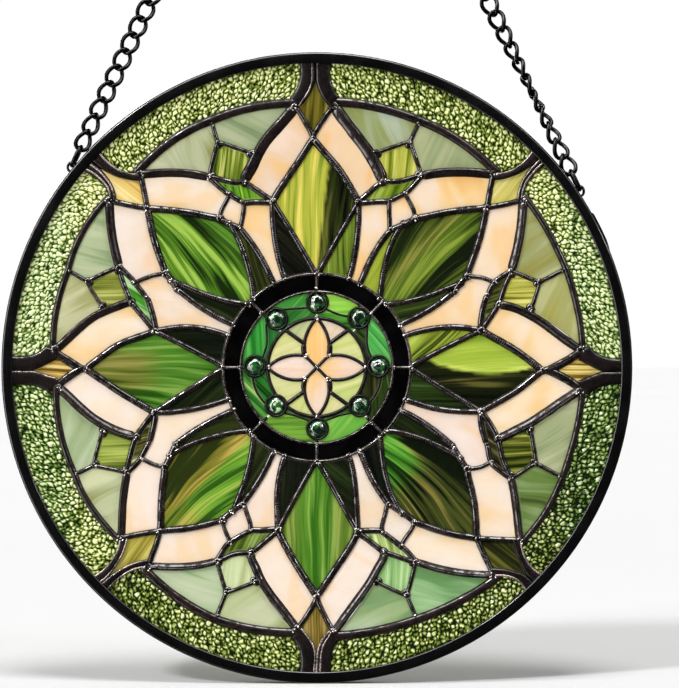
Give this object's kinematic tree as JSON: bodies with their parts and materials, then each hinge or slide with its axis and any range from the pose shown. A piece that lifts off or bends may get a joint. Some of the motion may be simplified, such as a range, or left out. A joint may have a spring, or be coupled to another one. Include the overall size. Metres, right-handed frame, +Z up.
{
  "type": "stained glass suncatcher",
  "caption": "Round leaded stained glass panel with a floral rosette in a black rim, hung from a small ring by two curb chains, used as a window decoration.",
  "frame": {"origin": "the point at the top of the hanging ring's hole where a hook bears", "axes": "+Z up, -Y towards the viewer of the panel's front, +X to that viewer's right"},
  "size_m": [0.2, 0.0064, 0.3364],
  "materials": {
    "hammered_green_glass": "hammered, glossy",
    "cream_glass": "opalescent, glossy",
    "pale_green_glass": "opalescent, glossy",
    "amber_glass": "streaked, glossy",
    "leaf_green_glass": "streaked, glossy",
    "lime_cream_glass": "opalescent, glossy",
    "peach_glass": "opalescent, glossy",
    "black_glass": "opaque, glossy",
    "vivid_green_glass": "clear colour, glossy",
    "dark_patinated_lead": "dark patina, polished beads of solder",
    "black_painted_rim": "satin black",
    "black_chain": "glossy black"
  },
  "bodies": {
    "root": {"arch_glass_bottom_left": "cream_glass", "arch_glass_bottom_right": "cream_glass", "arch_glass_left_lower": "cream_glass", "arch_glass_left_upper": "cream_glass", "arch_glass_right_lower": "cream_glass", "arch_glass_right_upper": "cream_glass", "arch_glass_top_left": "cream_glass", "arch_glass_top_right": "cream_glass", "black_ring_glass": "black_glass", "border_glass_bottom_left": "hammered_green_glass", "border_glass_bottom_right": "hammered_green_glass", "border_glass_left_lower": "hammered_green_glass", "border_glass_left_upper": "hammered_green_glass", "border_glass_right_lower": "hammered_green_glass", "border_glass_right_upper": "hammered_green_glass", "border_glass_top_left": "hammered_green_glass", "border_glass_top_right": "hammered_green_glass", "chain_left": "black_chain", "chain_right": "black_chain", "flower_ground_lower_left": "lime_cream_glass", "flower_ground_lower_right": "lime_cream_glass", "flower_ground_upper_left": "lime_cream_glass", "flower_ground_upper_right": "lime_cream_glass", "flower_petals": "peach_glass", "green_ring_glass": "vivid_green_glass", "ground_glass_bottom_left": "pale_green_glass", "ground_glass_bottom_right": "pale_green_glass", "ground_glass_left_lower": "pale_green_glass", "ground_glass_left_upper": "pale_green_glass", "ground_glass_right_lower": "pale_green_glass", "ground_glass_right_upper": "pale_green_glass", "ground_glass_top_left": "pale_green_glass", "ground_glass_top_right": "pale_green_glass", "hanging_ring": "black_chain", "kite_glass_bottom": "amber_glass", "kite_glass_left": "amber_glass", "kite_glass_lower_left": "amber_glass", "kite_glass_lower_right": "amber_glass", "kite_glass_right": "amber_glass", "kite_glass_top": "amber_glass", "kite_glass_upper_left": "amber_glass", "kite_glass_upper_right": "amber_glass", "lead_net": "dark_patinated_lead", "leaf_glass_bottom": "leaf_green_glass", "leaf_glass_left": "leaf_green_glass", "leaf_glass_lower_left": "leaf_green_glass", "leaf_glass_lower_right": "leaf_green_glass", "leaf_glass_right": "leaf_green_glass", "leaf_glass_top": "leaf_green_glass", "leaf_glass_upper_left": "leaf_green_glass", "leaf_glass_upper_right": "leaf_green_glass", "leg_band_glass_bottom_left": "cream_glass", "leg_band_glass_bottom_right": "cream_glass", "leg_band_glass_left_lower": "cream_glass", "leg_band_glass_left_upper": "cream_glass", "leg_band_glass_right_lower": "cream_glass", "leg_band_glass_right_upper": "cream_glass", "leg_band_glass_top_left": "cream_glass", "leg_band_glass_top_right": "cream_glass", "rim": "black_painted_rim"}
  },
  "joints": []
}
